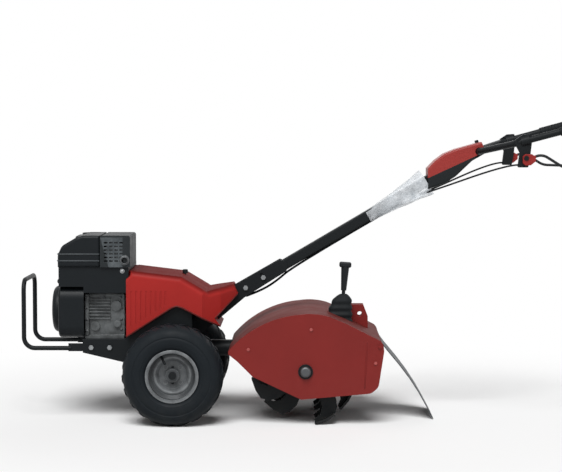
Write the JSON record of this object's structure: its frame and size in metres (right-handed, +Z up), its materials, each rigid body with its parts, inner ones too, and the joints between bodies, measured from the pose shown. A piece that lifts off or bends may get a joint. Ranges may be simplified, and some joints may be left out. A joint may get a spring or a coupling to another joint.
{
  "type": "rotavator",
  "caption": "Walk-behind rear-tine rotavator with a front engine, red belt cover and tine hood, two driven tyres and a single column with two grips.",
  "frame": {"origin": "middle of the machine's length and width, on the ground under tyres and tine tips", "axes": "+X along the machine from the engine to the grips, +Y to its right seen from the grips, +Z up"},
  "size_m": [1.9015, 0.593, 1.0025],
  "materials": {
    "red_paint": "gloss",
    "black_paint": "satin",
    "engine_black": "satin",
    "guard_grey": "satin",
    "cast_alloy": "rough",
    "wheel_grey": "satin",
    "tyre_rubber": "matte",
    "bright_steel": "satin",
    "grey_iron": "satin",
    "bronze": "satin",
    "belt_rubber": "matte",
    "flap_steel": "satin",
    "black_plastic": "satin",
    "red_plastic": "satin",
    "grip_rubber": "matte",
    "clear_film": "gloss"
  },
  "bodies": {
    "chassis": {"frame_plates": "black_paint", "engine_deck": "black_paint", "front_bumper": "black_paint", "hex_bolts": "bright_steel", "engine_block": "cast_alloy", "fan_housing": "engine_black", "recoil_cover": "engine_black", "recoil_grip": "black_plastic", "cylinder_cowl": "engine_black", "fuel_tank": "engine_black", "muffler_guard": "guard_grey", "muffler": "bright_steel", "air_cleaner": "engine_black", "drive_belt": "belt_rubber", "belt_cover": "red_paint", "wheel_gear_case_halves": "black_paint", "tine_gear_case_halves": "black_paint", "drive_tube": "black_paint", "shaft_bushes": "bronze", "tine_side_bearings": "black_paint", "hood_panels": "red_paint", "hood_top": "red_paint", "rear_hitch_bracket": "red_paint", "flap_hinge_rod": "red_paint", "selector_boot": "grip_rubber", "handle_brackets": "black_paint"},
    "fuel_cap": {"fuel_cap": "black_plastic"},
    "crankshaft": {"crankshaft": "bright_steel", "flywheel_fan": "grey_iron", "drive_pulley": "grey_iron"},
    "drive_shaft": {"drive_shaft": "bright_steel", "driven_pulley": "grey_iron"},
    "idler_arm": {"idler_arm": "black_paint"},
    "idler_pulley": {"idler_pulley": "grey_iron"},
    "cover_knob": {"cover_knob": "black_plastic"},
    "wheel_axle": {"wheel_axle": "black_paint", "wheel_worm_gear": "bronze", "wheel_rims": "wheel_grey", "tyres": "tyre_rubber", "hub_pins": "black_paint"},
    "tine_rotor": {"tine_shaft": "bright_steel", "tines": "black_paint", "tine_bolts": "bright_steel", "tine_end_nuts": "bright_steel", "tine_worm_gear": "bronze"},
    "rear_flap": {"rear_flap": "flap_steel"},
    "selector_lever": {"selector_lever": "black_paint", "selector_knob": "black_plastic"},
    "handle": {"handle_column": "black_paint", "handlebar": "black_paint", "grips": "grip_rubber", "lever_clamps": "black_paint", "console_top": "red_plastic", "console_base": "black_plastic", "control_cables": "grip_rubber", "column_film": "clear_film", "handle_lock_bolt": "bright_steel"},
    "clutch_lever_left": {"clutch_lever_left": "red_plastic"},
    "clutch_lever_right": {"clutch_lever_right": "red_plastic"},
    "throttle_slide": {"throttle_slide": "black_plastic"}
  },
  "joints": [
    {"name": "crank_spin", "type": "hinge", "parent": "chassis", "child": "crankshaft", "pos_m": [-0.64306, 0, 0.356], "axis": [1, 0, 0], "continuous": true},
    {"name": "axle_spin", "type": "hinge", "parent": "chassis", "child": "wheel_axle", "pos_m": [-0.44306, 0, 0.165], "axis": [0, 1, 0], "continuous": true},
    {"name": "tine_spin", "type": "hinge", "parent": "chassis", "child": "tine_rotor", "pos_m": [-0.01306, 0, 0.177], "axis": [0, 1, 0], "continuous": true},
    {"name": "drive_spin", "type": "hinge", "parent": "chassis", "child": "drive_shaft", "pos_m": [-0.44306, 0, 0.225], "axis": [1, 0, 0], "continuous": true},
    {"name": "idler_swing", "type": "hinge", "parent": "chassis", "child": "idler_arm", "pos_m": [-0.57206, 0.102, 0.243], "axis": [1, 0, 0], "range_deg": [0, 12], "stiffness_Nm_per_rad": 5},
    {"name": "idler_spin", "type": "hinge", "parent": "idler_arm", "child": "idler_pulley", "pos_m": [-0.57206, 0.08984, 0.31194], "axis": [1, 0, 0], "continuous": true},
    {"name": "knob_turn", "type": "hinge", "parent": "chassis", "child": "cover_knob", "pos_m": [-0.41706, 0, 0.56], "axis": [0, 0, 1], "continuous": true},
    {"name": "cap_turn", "type": "hinge", "parent": "chassis", "child": "fuel_cap", "pos_m": [-0.73156, 0.019, 0.611], "axis": [0, 0, 1], "range_deg": [0, 90]},
    {"name": "flap_swing", "type": "hinge", "parent": "chassis", "child": "rear_flap", "pos_m": [0.22794, 0, 0.259], "axis": [0, -1, 0], "range_deg": [0, 50]},
    {"name": "selector_swing", "type": "hinge", "parent": "chassis", "child": "selector_lever", "pos_m": [0.10994, -0.062, 0.362], "axis": [0, 1, 0], "range_deg": [-12, 12], "deforming": ["selector_boot"]},
    {"name": "handle_height", "type": "hinge", "parent": "chassis", "child": "handle", "pos_m": [-0.21306, 0, 0.429], "axis": [0, -1, 0], "range_deg": [-6, 10]},
    {"name": "clutch_left", "type": "hinge", "parent": "handle", "child": "clutch_lever_left", "pos_m": [0.69494, -0.222, 0.866], "axis": [0, -1, 0], "range_deg": [0, 30], "stiffness_Nm_per_rad": 1.5},
    {"name": "clutch_right", "type": "hinge", "parent": "handle", "child": "clutch_lever_right", "pos_m": [0.69494, 0.222, 0.866], "axis": [0, -1, 0], "range_deg": [0, 30], "stiffness_Nm_per_rad": 1.5},
    {"name": "throttle", "type": "slide", "parent": "handle", "child": "throttle_slide", "axis": [0.9627, 0, 0.2707], "range_m": [-0.024, 0]}
  ],
  "couplings": [
    {"joint": "drive_spin", "follows": "tine_spin", "ratio": -22},
    {"joint": "axle_spin", "follows": "tine_spin", "ratio": 0.73333}
  ]
}
